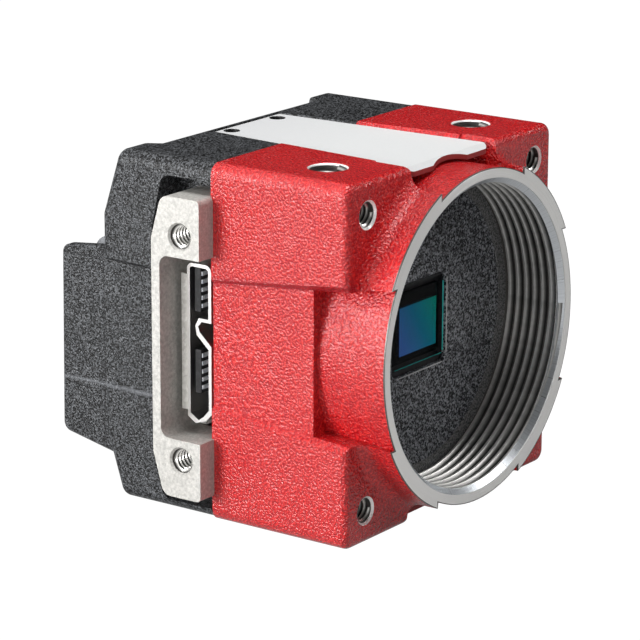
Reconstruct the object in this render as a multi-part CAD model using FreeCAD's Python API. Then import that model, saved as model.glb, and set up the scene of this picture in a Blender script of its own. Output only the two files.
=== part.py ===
import FreeCAD, Part
import math
import os

V = FreeCAD.Vector

# Compact machine vision camera, 29 x 29 mm.  Millimetres.
# Origin: centre of the lens flange.  The lens looks along -Y, +Z is up, and the
# USB port is on the -X side.

# ---- body ----------------------------------------------------------------------------
HALF = 14.5             # half width of the front casting
REAR_HALF = 14.4        # the rear casting is a touch smaller all round
POST_Y = 2.8            # front faces of the four corner posts
STEP_Y = 6.2            # where the side bands step down to the lens boss
SEAM_Y = 15.7           # joint between the two castings
REAR_Y = 26.8           # rear face
EDGE_R = 1.0            # rounding of the long edges
NOSE_R = 0.6            # rounding of the post faces' outer edges
WALL_HALF_X = 12.7      # half width of the cavity
WALL_HALF_Z = 12.6      # half height of the cavity in the front casting
REAR_WALL_HALF_Z = 11.6
PILLAR = 8.2            # the corner pillars start here, in X and in Z
CAVITY_REAR_Y = 23.6

# ---- lens mount, 1-32 UN thread ------------------------------------------------------
RING_R = 14.0           # outer radius of the ring in the four corners
BAND_R = 13.5           # the same, where the four bands cross the ring
FLANK_R = 15.1          # foot of the concave flank, on the post faces
THREAD_R = 12.7         # major radius of the lens thread
FLOOR_Y = 5.85          # floor of the lens well
FLOOR_OPENING_R = 11.6
HOLDER_FLANGE_R = 12.4
BULKHEAD_Y = 7.5        # rear side of the floor

# ---- bands and cover strips ----------------------------------------------------------
SIDE_BAND = (6.45, 4.95, 5.25)       # half widths at the ring, the seam and the rear
SIDE_FLOOR = (13.9, 14.25, 14.15)   # the band's distance from the axis at the same places
STRIP_FRONT_Y = 3.15
STRIP_BEND_Y = 3.7       # the lip in front of this line is bent down
STRIP_REAR_Y = 23.1
STRIP_FRONT_HALF = 5.8
STRIP_REAR_HALF = 4.45
STRIP_FRONT_TOP = 14.2
STRIP_REAR_TOP = 14.3
STRIP_LIP_DROP = 0.33
STRIP_T = 0.4
STRIP_GAP = 0.06

# ---- threaded holes ------------------------------------------------------------------
M2_R = 1.0
M3_R = 1.5
CHAMFER = 0.15
FRONT_M2 = 11.8         # the four holes in the post faces, from the axis
M2_DEPTH = 4.0
SIDE_M3_X = 10.0        # the two holes on top and below, from the axis
SIDE_M3_Y = 7.8
M3_DEPTH = 3.4

# ---- USB port ------------------------------------------------------------------------
PORT_Y = 17.4
PORT_Z = -0.3
LOCK_SPACING = 18.2     # between the two locking screws
BRACKET_X = -16.3       # outer face of the bracket
BRACKET_INNER_X = -11.9
BRACKET_FRONT_Y = 15.5
BRACKET_REAR_Y = 20.2
BRACKET_HALF_Z = 12.2
BRACKET_WAIST_Z = 8.7   # the rear side starts to slant here
BRACKET_OPEN_HALF_Z = 7.4
BRACKET_BAR_T = 0.8
POCKET_REAR_Y = 21.65
POCKET_TOP = 13.0
POCKET_BOTTOM = -13.6
SHELL_X = -14.2         # mouth of the receptacle
SHELL_INNER_X = -9.2
SHELL_T = 0.28
INSERT_T = 1.2          # rear wall of the moulded insert
TONGUE_Y = (17.05, 17.6)
CONTACT_PITCH = 0.65
CONTACT_ROWS = (4.15, -2.5)     # middle of each row of five

# ---- boards --------------------------------------------------------------------------
SENSOR_BOARD_Y = 8.6
IMAGE_BOARD_Y = 13.4
PORT_BOARD_Y = 18.4
BOARD_T = 0.8
PORT_BOARD_T = 0.6
STACK_X = 6.8           # screws through the two front boards
STACK_Z = 11.3
PORT_SCREW_X = 6.4      # screws of the port board, into bosses of the rear casting
PORT_SCREW_Z = 9.3
SMALL_SCREW_R = 0.8
SMALL_HEAD_R = 1.25
SMALL_HEAD_T = 0.9
SPACER_R = 1.3          # hexagonal spacers, across the corners

# ---- case screws and rear ------------------------------------------------------------
CASE_SCREW = 10.6       # four screws from the rear, from the axis in X and in Z
CASE_HEAD_R = 1.5
CASE_SEAT_Y = 24.5
CASE_TIP_Y = 11.2
GUARD_X = (13.05, 14.1)
GUARD_REAR_Y = 31.2
IO_R = 4.8              # round input and output connector
IO_Z = -1.0
IO_REAR_Y = 29.6
LIGHT_R = 0.95
LIGHT_X = -11.0
LIGHT_Z = 5.15
LIGHT_REAR_Y = 29.9

# ---- sensor --------------------------------------------------------------------------
WINDOW = (7.7, 7.5)     # opening in the holder, width and height
WINDOW_R = 0.8
WINDOW_FLARE = 0.12     # chamfer round its front edge
WINDOW_T = 0.4
PACKAGE = (10.4, 9.8)
PACKAGE_Y = (6.7, SENSOR_BOARD_Y)
PACKAGE_RIM = 0.4
GLASS = (7.1, 6.2)
GLASS_Y = (5.95, 6.35)
DIE = (6.6, 5.7)


# ---- small vocabulary ----------------------------------------------------------------

def block(x0, x1, y0, y1, z0, z1):
    """A box between two corners."""
    return Part.makeBox(x1 - x0, y1 - y0, z1 - z0, V(x0, y0, z0))


def rod(radius, y0, y1, x=0.0, z=0.0):
    """A cylinder along the optical axis."""
    return Part.makeCylinder(radius, y1 - y0, V(x, y0, z), V(0, 1, 0))


def face_xz(points, y):
    """A face across the axis from (x, z) corners."""
    ring = [V(x, y, z) for x, z in points]
    return Part.Face(Part.makePolygon(ring + ring[:1]))


def face_yz(points, x):
    """A face beside the axis from (y, z) corners."""
    ring = [V(x, y, z) for y, z in points]
    return Part.Face(Part.makePolygon(ring + ring[:1]))


def round_corners(solid, direction, radius, keep=None):
    """Round the straight edges of a prism that run along direction."""
    chosen = []
    for edge in solid.Edges:
        along = edge.tangentAt(edge.FirstParameter)
        if abs(abs(along.dot(direction)) - 1.0) > 1e-6:
            continue
        if keep is None or keep(edge.CenterOfMass):
            chosen.append(edge)
    return solid.makeFillet(radius, chosen)


def tile(width, height, y0, y1, radius=0.0, x=0.0, z=0.0):
    """A rectangular plate across the axis, with rounded corners."""
    plate = block(x - width / 2, x + width / 2, y0, y1, z - height / 2, z + height / 2)
    if radius:
        plate = round_corners(plate, V(0, 1, 0), radius)
    return plate


def turned(shape, angle):
    copy = shape.copy()
    copy.rotate(V(0, 0, 0), V(0, 1, 0), angle)
    return copy


def mirrored_x(shape):
    return shape.mirror(V(0, 0, 0), V(1, 0, 0))


def mirrored_z(shape):
    return shape.mirror(V(0, 0, 0), V(0, 0, 1))


def four_corners(a, b=None):
    """The four (x, z) places at plus and minus a, b."""
    b = a if b is None else b
    return [(sx * a, sz * b) for sx in (-1, 1) for sz in (-1, 1)]


def opposite_corners(a, b):
    return [(-a, b), (a, -b)]


def tapped_hole(radius, depth, place, outward):
    """A blind hole with a chamfered mouth, cut inwards from place."""
    inward = outward * -1.0
    start = place + outward
    hole = Part.makeCylinder(radius, depth + 1.0, start, inward)
    mouth = Part.makeCone(radius + 2 * CHAMFER, radius, 2 * CHAMFER, place + outward * CHAMFER, inward)
    return hole.fuse(mouth)


def export(name, shape):
    shape = shape.removeSplitter()
    shape.exportStep("parts/%s.step" % name)


# ---- bands ---------------------------------------------------------------------------

def between(first, last, y, y0, y1):
    return first + (last - first) * (y - y0) / (y1 - y0)


def mirrored_profile(right):
    """A profile symmetrical about the Z axis, from its right half."""
    return right + [(-x, z) for x, z in reversed(right)]


def band_profile(half, floor, edge):
    """Cross-section of a sunk band: flat floor and 45 degree sides up past the edge."""
    rise = edge - floor + 1.0
    return mirrored_profile([(half, floor), (half + rise, floor + rise)])


def channel_profile(y, edge):
    """Cross-section of the strip's channel: a square slot for the sheet, then bevelled sides."""
    half = strip_half(y) + STRIP_GAP
    top = strip_top(y)
    rise = edge - top + 1.0
    return mirrored_profile([(half, top - STRIP_T), (half, top), (half + rise, top + rise)])


def loft_along(sections):
    """A ruled solid through (y, profile) sections."""
    return Part.makeLoft([face_xz(points, y).OuterWire for y, points in sections], True, True)


def strip_half(y):
    return between(STRIP_FRONT_HALF, STRIP_REAR_HALF, y, STRIP_FRONT_Y, STRIP_REAR_Y)


def strip_top(y):
    return between(STRIP_FRONT_TOP, STRIP_REAR_TOP, y, STRIP_FRONT_Y, STRIP_REAR_Y)


def strip_channel(y0, y1, edge):
    """What is taken from the top of a casting for the cover strip."""
    return loft_along([(y, channel_profile(y, edge)) for y in (y0, y1)])


def side_band(y0, y1, halves, floors, edge):
    """What is taken from the side of a casting to sink its band."""
    sections = [(y0, band_profile(halves[0], floors[0], edge)),
                (y1, band_profile(halves[1], floors[1], edge))]
    return turned(loft_along(sections), 90.0)


# ---- front casting -------------------------------------------------------------------

def lens_boss():
    """The round boss with its concave flank, turned about the axis."""
    flank = FLANK_R - RING_R
    start = V(RING_R, POST_Y - flank, 0)
    foot = V(FLANK_R, POST_Y, 0)
    sag = flank * (1.0 - math.cos(math.radians(45.0)))
    middle = V(RING_R + sag, POST_Y - sag, 0)
    edges = [
        Part.makeLine(V(0, 0, 0), V(RING_R, 0, 0)),
        Part.makeLine(V(RING_R, 0, 0), start),
        Part.Arc(start, middle, foot).toShape(),
        Part.makeLine(foot, V(FLANK_R, STEP_Y + 1.0, 0)),
        Part.makeLine(V(FLANK_R, STEP_Y + 1.0, 0), V(0, STEP_Y + 1.0, 0)),
        Part.makeLine(V(0, STEP_Y + 1.0, 0), V(0, 0, 0)),
    ]
    return Part.Face(Part.Wire(edges)).revolve(V(0, 0, 0), V(0, 1, 0), 360.0)


def nose_relief(half_ring, half_step, floor_ring, floor_step, wall_lean):
    """What is taken beside the boss in one band, down to the turned radius."""
    sections = []
    for y, half, floor in ((-1.0, half_ring, floor_ring), (STEP_Y, half_step, floor_step)):
        rim = half + wall_lean
        right = [(half - 0.3, 8.0), (half, 12.0), (rim, floor), (rim + 1.6, floor + 1.6)]
        sections.append((y, mirrored_profile(right)))
    return loft_along(sections).cut(rod(BAND_R, -2.0, STEP_Y + 1.0))


def cavity(y0, y1, half_z):
    """Room for the boards, leaving a pillar in each corner."""
    across = block(-WALL_HALF_X, WALL_HALF_X, y0, y1, -PILLAR, PILLAR)
    upright = block(-PILLAR, PILLAR, y0, y1, -half_z, half_z)
    return round_corners(across.fuse(upright).removeSplitter(), V(0, 1, 0), 0.8)


def front_housing():
    """Die-cast front housing: posts, boss, bands and lens well in one casting."""
    shell = tile(2 * HALF, 2 * HALF, POST_Y, SEAM_Y, EDGE_R)
    nose = [e for e in shell.Edges if abs(e.BoundBox.YMax - POST_Y) < 1e-6]
    shell = shell.makeFillet(NOSE_R, nose)
    shell = shell.fuse(lens_boss())

    side_half_step = between(SIDE_BAND[0], SIDE_BAND[1], STEP_Y, 0.0, SEAM_Y)
    side_floor_step = between(SIDE_FLOOR[0], SIDE_FLOOR[1], STEP_Y, 0.0, SEAM_Y)
    side_nose = nose_relief(SIDE_BAND[0], side_half_step, SIDE_FLOOR[0], side_floor_step, 0.0)
    side = side_band(STEP_Y - 0.5, SEAM_Y + 0.5, (side_half_step, SIDE_BAND[1]),
                     (side_floor_step, SIDE_FLOOR[1]), HALF)
    top_nose = nose_relief(STRIP_FRONT_HALF, strip_half(STEP_Y), STRIP_FRONT_TOP, STRIP_FRONT_TOP, 0.35)
    channel = strip_channel(STEP_Y - 0.5, SEAM_Y + 0.5, HALF)

    for cutter in (turned(side_nose, 90.0), turned(side_nose, 270.0), side, turned(side, 180.0)):
        shell = shell.cut(cutter)
    for cutter in (top_nose, turned(top_nose, 180.0), channel, turned(channel, 180.0)):
        shell = shell.cut(cutter)

    shell = shell.cut(rod(THREAD_R, -1.0, FLOOR_Y))
    shell = shell.cut(rod(FLOOR_OPENING_R, 0.0, BULKHEAD_Y + 1.0))
    shell = shell.cut(rod(HOLDER_FLANGE_R, BULKHEAD_Y - 0.6, BULKHEAD_Y + 1.0))
    shell = shell.cut(cavity(BULKHEAD_Y, SEAM_Y + 1.0, WALL_HALF_Z))

    for x, z in four_corners(FRONT_M2):
        shell = shell.cut(tapped_hole(M2_R, M2_DEPTH, V(x, POST_Y, z), V(0, -1, 0)))
    for x, z in four_corners(SIDE_M3_X, HALF):
        up = V(0, 0, math.copysign(1.0, z))
        shell = shell.cut(tapped_hole(M3_R, M3_DEPTH, V(x, SIDE_M3_Y, z), up))
    for x, z in four_corners(CASE_SCREW):
        shell = shell.cut(rod(SMALL_SCREW_R, CASE_TIP_Y - 0.5, SEAM_Y + 1.0, x, z))
    for x, z in opposite_corners(STACK_X, STACK_Z):
        shell = shell.cut(rod(SMALL_SCREW_R, BULKHEAD_Y - 1.2, BULKHEAD_Y + 1.0, x, z))
    return shell


# ---- rear casting --------------------------------------------------------------------

def rear_slope(front_y, start_z):
    """The wedge taken off above the slanting top of the rear end."""
    over = REAR_HALF + 1.0
    slope = (REAR_Y - front_y) / (REAR_HALF - start_z)
    points = [(REAR_Y, start_z), (REAR_Y - slope * (over - start_z), over),
              (REAR_Y + 2.0, over), (REAR_Y + 2.0, start_z)]
    return face_yz(points, -HALF - 1.0).extrude(V(2 * HALF + 2.0, 0, 0))


def rear_waist():
    """The deeper middle of the slope, with its slanting ends."""
    plan = [V(-13.2, REAR_Y + 1.0, 5.0), V(-10.4, 23.3, 5.0),
            V(10.4, 23.3, 5.0), V(13.2, REAR_Y + 1.0, 5.0)]
    room = Part.Face(Part.makePolygon(plan + plan[:1])).extrude(V(0, 0, 12.0))
    return room.common(rear_slope(23.5, 9.4))


def guard():
    """One of the two walls that stand beside the rear connector, on the -X side."""
    points = [(REAR_Y - 1.0, 6.35), (GUARD_REAR_Y, 5.75),
              (GUARD_REAR_Y + 0.2, -9.85), (REAR_Y - 1.0, -11.0)]
    wall = face_yz(points, -GUARD_X[1]).extrude(V(GUARD_X[1] - GUARD_X[0], 0, 0))
    wall = round_corners(wall, V(1, 0, 0), 0.8, lambda c: c.y > GUARD_REAR_Y - 0.1)
    rim = [e for e in wall.Edges if e.BoundBox.YMin > REAR_Y]
    return wall.makeChamfer(0.2, rim)


def port_pocket():
    """The notch in the side wall that the USB bracket stands in."""
    points = [(SEAM_Y - 1.0, POCKET_TOP), (20.6, POCKET_TOP), (POCKET_REAR_Y, 8.6),
              (POCKET_REAR_Y, -10.4), (20.7, POCKET_BOTTOM), (SEAM_Y - 1.0, POCKET_BOTTOM)]
    notch = face_yz(points, -HALF - 1.0).extrude(V(HALF + 1.0 + BRACKET_INNER_X + 0.1, 0, 0))
    return round_corners(notch, V(1, 0, 0), 0.9, lambda c: c.y > SEAM_Y)


def rear_housing():
    """Die-cast rear housing: slanted ends, guard walls, port pocket and screw seats."""
    shell = tile(2 * REAR_HALF, 2 * REAR_HALF, SEAM_Y, REAR_Y, EDGE_R)
    slope = rear_slope(25.05, 9.0)
    shell = shell.cut(slope).cut(mirrored_z(slope))
    rim = [e for e in shell.Edges if e.BoundBox.YMin > REAR_Y - 2.5]
    shell = shell.makeFillet(0.7, rim)
    waist = rear_waist()
    shell = shell.cut(waist).cut(mirrored_z(waist))

    band = side_band(SEAM_Y - 0.5, REAR_Y + 0.5, SIDE_BAND[1:], SIDE_FLOOR[1:], REAR_HALF)
    channel = strip_channel(SEAM_Y - 0.5, STRIP_REAR_Y + 0.2, REAR_HALF)
    for cutter in (band, turned(band, 180.0), channel, turned(channel, 180.0)):
        shell = shell.cut(cutter)
    shell = shell.fuse(guard()).fuse(mirrored_x(guard()))

    shell = shell.cut(cavity(SEAM_Y - 1.0, CAVITY_REAR_Y, REAR_WALL_HALF_Z))
    shell = shell.cut(port_pocket())
    for x, z in opposite_corners(PORT_SCREW_X, PORT_SCREW_Z):
        shell = shell.fuse(rod(1.7, PORT_BOARD_Y + PORT_BOARD_T, CAVITY_REAR_Y + 0.5, x, z))
        shell = shell.cut(rod(SMALL_SCREW_R, PORT_BOARD_Y, CAVITY_REAR_Y - 0.6, x, z))
    for x, z in four_corners(CASE_SCREW):
        shell = shell.cut(rod(SMALL_SCREW_R + 0.1, SEAM_Y - 1.0, REAR_Y, x, z))
        shell = shell.cut(rod(CASE_HEAD_R + 0.15, CASE_SEAT_Y, REAR_Y + 1.0, x, z))
    shell = shell.cut(rod(IO_R, CAVITY_REAR_Y - 1.0, REAR_Y + 1.0, 0.0, IO_Z))
    shell = shell.cut(rod(LIGHT_R, CAVITY_REAR_Y - 1.0, REAR_Y + 1.0, LIGHT_X, LIGHT_Z))
    return shell


# ---- cover strips --------------------------------------------------------------------

def strip_plan():
    """Outline of the strip from above, with rounded front corners and a scallop between them."""
    corners = [(-STRIP_FRONT_HALF, STRIP_FRONT_Y), (STRIP_FRONT_HALF, STRIP_FRONT_Y),
               (STRIP_REAR_HALF, STRIP_REAR_Y), (-STRIP_REAR_HALF, STRIP_REAR_Y)]
    ring = [V(x, y, 10.0) for x, y in corners]
    plan = Part.Face(Part.makePolygon(ring + ring[:1])).extrude(V(0, 0, 8.0))
    plan = round_corners(plan, V(0, 0, 1), 0.85, lambda c: c.y < STRIP_BEND_Y)
    half, depth = 2.4, 0.5
    radius = (half ** 2 + depth ** 2) / (2 * depth)
    return plan.cut(Part.makeCylinder(radius, 8.0, V(0, STRIP_FRONT_Y + depth - radius, 10.0)))


def cover_strip():
    """Thin metal strip that closes the top channel, its front end bent down to a lip."""
    top = [(STRIP_REAR_Y, STRIP_REAR_TOP), (STRIP_BEND_Y, strip_top(STRIP_BEND_Y)),
           (STRIP_FRONT_Y, STRIP_FRONT_TOP - STRIP_LIP_DROP)]
    under = [(y, z - STRIP_T) for y, z in reversed(top)]
    strip = face_yz(top + under, -8.0).extrude(V(16.0, 0, 0)).common(strip_plan())
    for x in (-3.1, 3.1):
        strip = strip.cut(Part.makeCylinder(0.65, 8.0, V(x, 22.3, 10.0)))
    return strip


# ---- USB port ------------------------------------------------------------------------

def bracket_outline(y_front):
    waist = BRACKET_WAIST_Z
    end = BRACKET_HALF_Z
    slant = BRACKET_REAR_Y - 1.0
    pairs = [(y_front, -end), (slant, -end), (BRACKET_REAR_Y, -waist),
             (BRACKET_REAR_Y, waist), (slant, end), (y_front, end)]
    return [(y, z + PORT_Z) for y, z in pairs]


def usb_bracket():
    """Cast C-shaped bracket round the port, with the two locking threads."""
    proud = face_yz(bracket_outline(BRACKET_FRONT_Y), BRACKET_X).extrude(V(-HALF - BRACKET_X, 0, 0))
    proud = round_corners(proud, V(1, 0, 0), 0.9, lambda c: c.y > BRACKET_FRONT_Y + 0.1)
    proud = round_corners(proud, V(1, 0, 0), 0.4, lambda c: c.y < BRACKET_FRONT_Y + 0.1)
    inner = face_yz(bracket_outline(SEAM_Y + 0.05), -HALF).extrude(V(BRACKET_INNER_X + HALF, 0, 0))
    inner = round_corners(inner, V(1, 0, 0), 0.9, lambda c: c.y > SEAM_Y + 1.0)
    body = proud.fuse(inner)
    mouth = block(BRACKET_X - 1.0, BRACKET_INNER_X + 1.0, SEAM_Y - 1.0, BRACKET_REAR_Y - BRACKET_BAR_T,
                  PORT_Z - BRACKET_OPEN_HALF_Z, PORT_Z + BRACKET_OPEN_HALF_Z)
    mouth = round_corners(mouth, V(1, 0, 0), 0.8, lambda c: c.y > SEAM_Y)
    body = body.cut(mouth)
    for side in (-1, 1):
        place = V(BRACKET_X, PORT_Y, PORT_Z + side * LOCK_SPACING / 2)
        body = body.cut(tapped_hole(M2_R, M2_DEPTH, place, V(-1, 0, 0)))
    return body


def receptacle(inset, x0, x1):
    """The ten-way micro receptacle's outline as a solid: a wide part, a waist and a small part."""
    front, back = 15.95 + inset, 18.33 - inset
    top, low = 6.25 - inset, -6.8 + inset
    notch_top, notch_low = 1.6 + inset, -0.3 - inset
    nose = 17.25 + inset
    points = [(front, top), (back, top), (back, low + 0.5), (back - 0.8, low),
              (front + 0.55, low + 0.35), (front, low + 0.95), (front, notch_low),
              (nose - 0.15, 0.75 - inset), (nose, 1.2), (nose - 0.35, notch_top), (front, notch_top)]
    solid = face_yz(points, x0).extrude(V(x1 - x0, 0, 0))
    return round_corners(solid, V(1, 0, 0), 0.55 - inset, lambda c: c.z > 5.0)


def usb_shell():
    """Folded sheet shell of the receptacle."""
    hollow = receptacle(SHELL_T, SHELL_X - 1.0, SHELL_INNER_X + 1.0)
    return receptacle(0.0, SHELL_X, SHELL_INNER_X).cut(hollow)


def tongue(middle):
    half = 2.5 * CONTACT_PITCH + 0.15
    return block(SHELL_X + 0.1, SHELL_INNER_X - INSERT_T, TONGUE_Y[0], TONGUE_Y[1],
                 middle - half, middle + half)


def usb_insert():
    """Moulded insert: a rear wall that fills the shell, and two tongues."""
    wall = receptacle(SHELL_T, SHELL_INNER_X - INSERT_T, SHELL_INNER_X)
    return wall.fuse([tongue(middle) for middle in CONTACT_ROWS])


def usb_contacts():
    """Two rows of five contacts on the tongues' front sides."""
    strips = []
    for middle in CONTACT_ROWS:
        for k in range(-2, 3):
            z = middle + k * CONTACT_PITCH
            strips.append(block(SHELL_X + 0.2, SHELL_INNER_X - INSERT_T - 0.1,
                                TONGUE_Y[0] - 0.1, TONGUE_Y[0], z - 0.16, z + 0.16))
    return Part.makeCompound(strips)


# ---- sensor and its holder -----------------------------------------------------------

def sensor_holder():
    """Stepped black disc with a chamfered window, seated from behind."""
    disc = rod(FLOOR_OPENING_R - 0.05, FLOOR_Y, BULKHEAD_Y)
    disc = disc.fuse(rod(HOLDER_FLANGE_R - 0.05, BULKHEAD_Y - 0.6, BULKHEAD_Y))
    window = tile(WINDOW[0], WINDOW[1], FLOOR_Y, FLOOR_Y + WINDOW_T + 0.1, WINDOW_R)
    disc = disc.cut(window)
    seat = tile(PACKAGE[0] + 0.2, PACKAGE[1] + 0.2, FLOOR_Y + WINDOW_T, BULKHEAD_Y + 1.0, 0.5)
    disc = disc.cut(seat)
    front = [e for e in disc.Edges if abs(e.BoundBox.YMax - FLOOR_Y) < 1e-6]
    mouth = [e for e in front if e.BoundBox.XMax < WINDOW[0]]
    return disc.makeChamfer(WINDOW_FLARE, mouth)


def sensor_package():
    body = tile(PACKAGE[0], PACKAGE[1], PACKAGE_Y[0], PACKAGE_Y[1], 0.3)
    rim = tile(PACKAGE[0], PACKAGE[1], PACKAGE_Y[0] - PACKAGE_RIM, PACKAGE_Y[0], 0.3)
    well = tile(GLASS[0] + 0.5, GLASS[1] + 0.5, PACKAGE_Y[0] - 1.0, PACKAGE_Y[0])
    return body.fuse(rim.cut(well))


def sensor_glass():
    return tile(GLASS[0], GLASS[1], GLASS_Y[0], GLASS_Y[1], 0.25)


def sensor_die():
    return tile(DIE[0], DIE[1], GLASS_Y[1], PACKAGE_Y[0])


# ---- boards --------------------------------------------------------------------------

def cross_board(y, thickness, half_x, half_z):
    """A board with its corners cut out round the pillars."""
    arm = PILLAR - 0.5
    across = block(-half_x, half_x, y, y + thickness, -arm, arm)
    upright = block(-arm, arm, y, y + thickness, -half_z, half_z)
    return across.fuse(upright).removeSplitter()


def drilled(board, y, places, radius):
    for x, z in places:
        board = board.cut(rod(radius, y - 1.0, y + 2.0, x, z))
    return board


def stack_board(y):
    board = cross_board(y, BOARD_T, WALL_HALF_X - 0.3, WALL_HALF_Z - 0.2)
    return drilled(board, y, opposite_corners(STACK_X, STACK_Z), SMALL_SCREW_R + 0.05)


def port_board():
    board = cross_board(PORT_BOARD_Y, PORT_BOARD_T, 11.7, REAR_WALL_HALF_Z - 0.3)
    tab = block(-14.05, -11.0, PORT_BOARD_Y, PORT_BOARD_Y + PORT_BOARD_T, -5.85, 5.25)
    board = board.fuse(tab).removeSplitter()
    places = opposite_corners(PORT_SCREW_X, PORT_SCREW_Z)
    return drilled(board, PORT_BOARD_Y, places, SMALL_SCREW_R + 0.05)


def spacers():
    """Hexagonal spacers round the stack screws: casting to sensor board, and board to board."""
    tubes = []
    for x, z in opposite_corners(STACK_X, STACK_Z):
        for y0, y1 in ((BULKHEAD_Y, SENSOR_BOARD_Y), (SENSOR_BOARD_Y + BOARD_T, IMAGE_BOARD_Y)):
            corners = []
            for k in range(6):
                angle = math.radians(60.0 * k)
                corners.append((x + SPACER_R * math.cos(angle), z + SPACER_R * math.sin(angle)))
            hexagon = face_xz(corners, y0).extrude(V(0, y1 - y0, 0))
            tubes.append(hexagon.cut(rod(SMALL_SCREW_R + 0.05, y0 - 1, y1 + 1, x, z)))
    return Part.makeCompound(tubes)


def screw(tip_y, seat_y, shank_r, head_r, head_t, x, z):
    """A cross-recessed screw along the axis; the head faces the rear if seat_y is past tip_y."""
    way = 1.0 if seat_y > tip_y else -1.0
    low, high = sorted((tip_y, seat_y))
    shank = rod(shank_r, low, high, x, z)
    head_low, head_high = sorted((seat_y, seat_y + way * head_t))
    head = rod(head_r, head_low, head_high, x, z)
    outer = seat_y + way * head_t
    slot_low, slot_high = sorted((outer - way * head_t * 0.5, outer + way))
    slot = head_r * 0.7
    wide = 0.17
    cross = block(x - slot, x + slot, slot_low, slot_high, z - wide, z + wide)
    cross = cross.fuse(block(x - wide, x + wide, slot_low, slot_high, z - slot, z + slot))
    return shank.fuse(head).cut(cross)


def small_screws(tip, seat, places):
    return Part.makeCompound([screw(tip, seat, SMALL_SCREW_R, SMALL_HEAD_R, SMALL_HEAD_T, x, z)
                              for x, z in places])


def stack_screws():
    places = opposite_corners(STACK_X, STACK_Z)
    return small_screws(BULKHEAD_Y - 1.1, IMAGE_BOARD_Y + BOARD_T, places)


def port_screws():
    places = opposite_corners(PORT_SCREW_X, PORT_SCREW_Z)
    return small_screws(PORT_BOARD_Y + 4.0, PORT_BOARD_Y, places)


def case_screws():
    return Part.makeCompound([screw(CASE_TIP_Y, CASE_SEAT_Y, SMALL_SCREW_R, CASE_HEAD_R, 1.3, x, z)
                              for x, z in four_corners(CASE_SCREW)])


def board_link(y0, y1, z):
    """A mated pair of board-to-board connectors: the socket half and the plug half."""
    middle = (y0 + y1) / 2
    socket = tile(12.0, 2.6, y0, middle, 0.0, 0.0, z)
    plug = tile(11.0, 1.9, middle, y1, 0.0, 0.0, z)
    return socket, plug


# ---- rear fittings -------------------------------------------------------------------

def io_shell():
    """Round metal shell of the input and output connector."""
    tube = rod(IO_R, CAVITY_REAR_Y, IO_REAR_Y, 0.0, IO_Z)
    tube = tube.cut(rod(IO_R - 0.6, CAVITY_REAR_Y - 1.0, IO_REAR_Y + 1.0, 0.0, IO_Z))
    flange = rod(IO_R + 1.0, REAR_Y, REAR_Y + 0.7, 0.0, IO_Z)
    flange = flange.cut(rod(IO_R - 0.6, REAR_Y - 1.0, REAR_Y + 2.0, 0.0, IO_Z))
    key = block(-0.5, 0.5, REAR_Y + 0.7, IO_REAR_Y, IO_Z + IO_R - 1.1, IO_Z + IO_R - 0.4)
    return tube.fuse(flange).fuse(key)


def io_insert():
    return rod(IO_R - 0.6, CAVITY_REAR_Y, REAR_Y + 0.6, 0.0, IO_Z)


def io_pins():
    pins = []
    for k in range(6):
        angle = math.radians(90.0 + 30.0 + 60.0 * k)
        x = 2.3 * math.cos(angle)
        z = IO_Z + 2.3 * math.sin(angle)
        pins.append(rod(0.35, REAR_Y + 0.6, IO_REAR_Y - 0.6, x, z))
    return Part.makeCompound(pins)


def status_light():
    """Domed light guide beside the guard wall."""
    stem = rod(LIGHT_R, CAVITY_REAR_Y, LIGHT_REAR_Y - LIGHT_R, LIGHT_X, LIGHT_Z)
    dome = Part.makeSphere(LIGHT_R, V(LIGHT_X, LIGHT_REAR_Y - LIGHT_R, LIGHT_Z))
    return stem.fuse(dome)


# ---- the parts -----------------------------------------------------------------------

os.makedirs("parts", exist_ok=True)

export("front_housing", front_housing())
export("rear_housing", rear_housing())
top = cover_strip()
export("top_strip", top)
export("bottom_strip", turned(top, 180.0))

export("usb_bracket", usb_bracket())
export("usb_shell", usb_shell())
export("usb_insert", usb_insert())
export("usb_contacts", usb_contacts())

export("sensor_holder", sensor_holder())
export("sensor_package", sensor_package())
export("sensor_glass", sensor_glass())
export("sensor_die", sensor_die())

export("sensor_board", stack_board(SENSOR_BOARD_Y))
export("image_board", stack_board(IMAGE_BOARD_Y))
export("port_board", port_board())
export("board_spacers", spacers())
export("stack_screws", stack_screws())
export("port_board_screws", port_screws())
export("case_screws", case_screws())
front_socket, front_plug = board_link(SENSOR_BOARD_Y + BOARD_T, IMAGE_BOARD_Y, -6.0)
rear_socket, rear_plug = board_link(IMAGE_BOARD_Y + BOARD_T, PORT_BOARD_Y, 6.2)
export("front_link_socket", front_socket)
export("front_link_plug", front_plug)
export("rear_link_socket", rear_socket)
export("rear_link_plug", rear_plug)
behind = IMAGE_BOARD_Y + BOARD_T
export("image_processor", tile(9.0, 9.0, behind, behind + 1.3, 0.0, 0.0, -1.5))
export("memory_chip", tile(8.0, 5.0, IMAGE_BOARD_Y - 1.0, IMAGE_BOARD_Y, 0.0, 0.0, 4.0))
behind = PORT_BOARD_Y + PORT_BOARD_T
export("usb_controller", tile(7.0, 7.0, behind, behind + 0.9, 0.0, -2.0, 3.0))

export("io_shell", io_shell())
export("io_insert", io_insert())
export("io_pins", io_pins())
export("status_light", status_light())
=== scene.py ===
import math

import bpy
from mathutils import Matrix, Vector


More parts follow.
